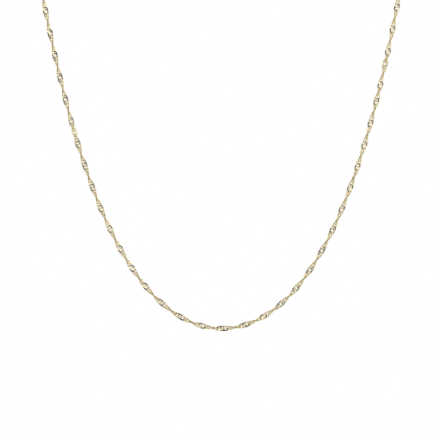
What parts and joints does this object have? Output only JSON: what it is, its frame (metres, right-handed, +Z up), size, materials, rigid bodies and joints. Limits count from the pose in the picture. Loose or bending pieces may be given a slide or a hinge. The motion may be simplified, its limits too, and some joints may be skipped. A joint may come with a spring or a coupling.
{
  "type": "twisted fine link chain necklace",
  "caption": "Fine twisted link chain necklace in pale gold, hanging in a free curve, closed at the nape by a round spring clasp.",
  "frame": {"origin": "middle of the nape, in the plane where the chain touches the neck, where the necklace is held up", "axes": "+Z up, the hanging front faces -Y, +X to the right when the front is looked at"},
  "size_m": [0.1118, 0.0646, 0.1188],
  "materials": {
    "chain_gold": "polished pale yellow gold, cut facets",
    "clasp_gold": "polished pale yellow gold"
  },
  "bodies": {
    "root": {"chain": "chain_gold", "clasp": "clasp_gold", "joining_ring": "clasp_gold", "end_ring": "clasp_gold"}
  },
  "joints": []
}
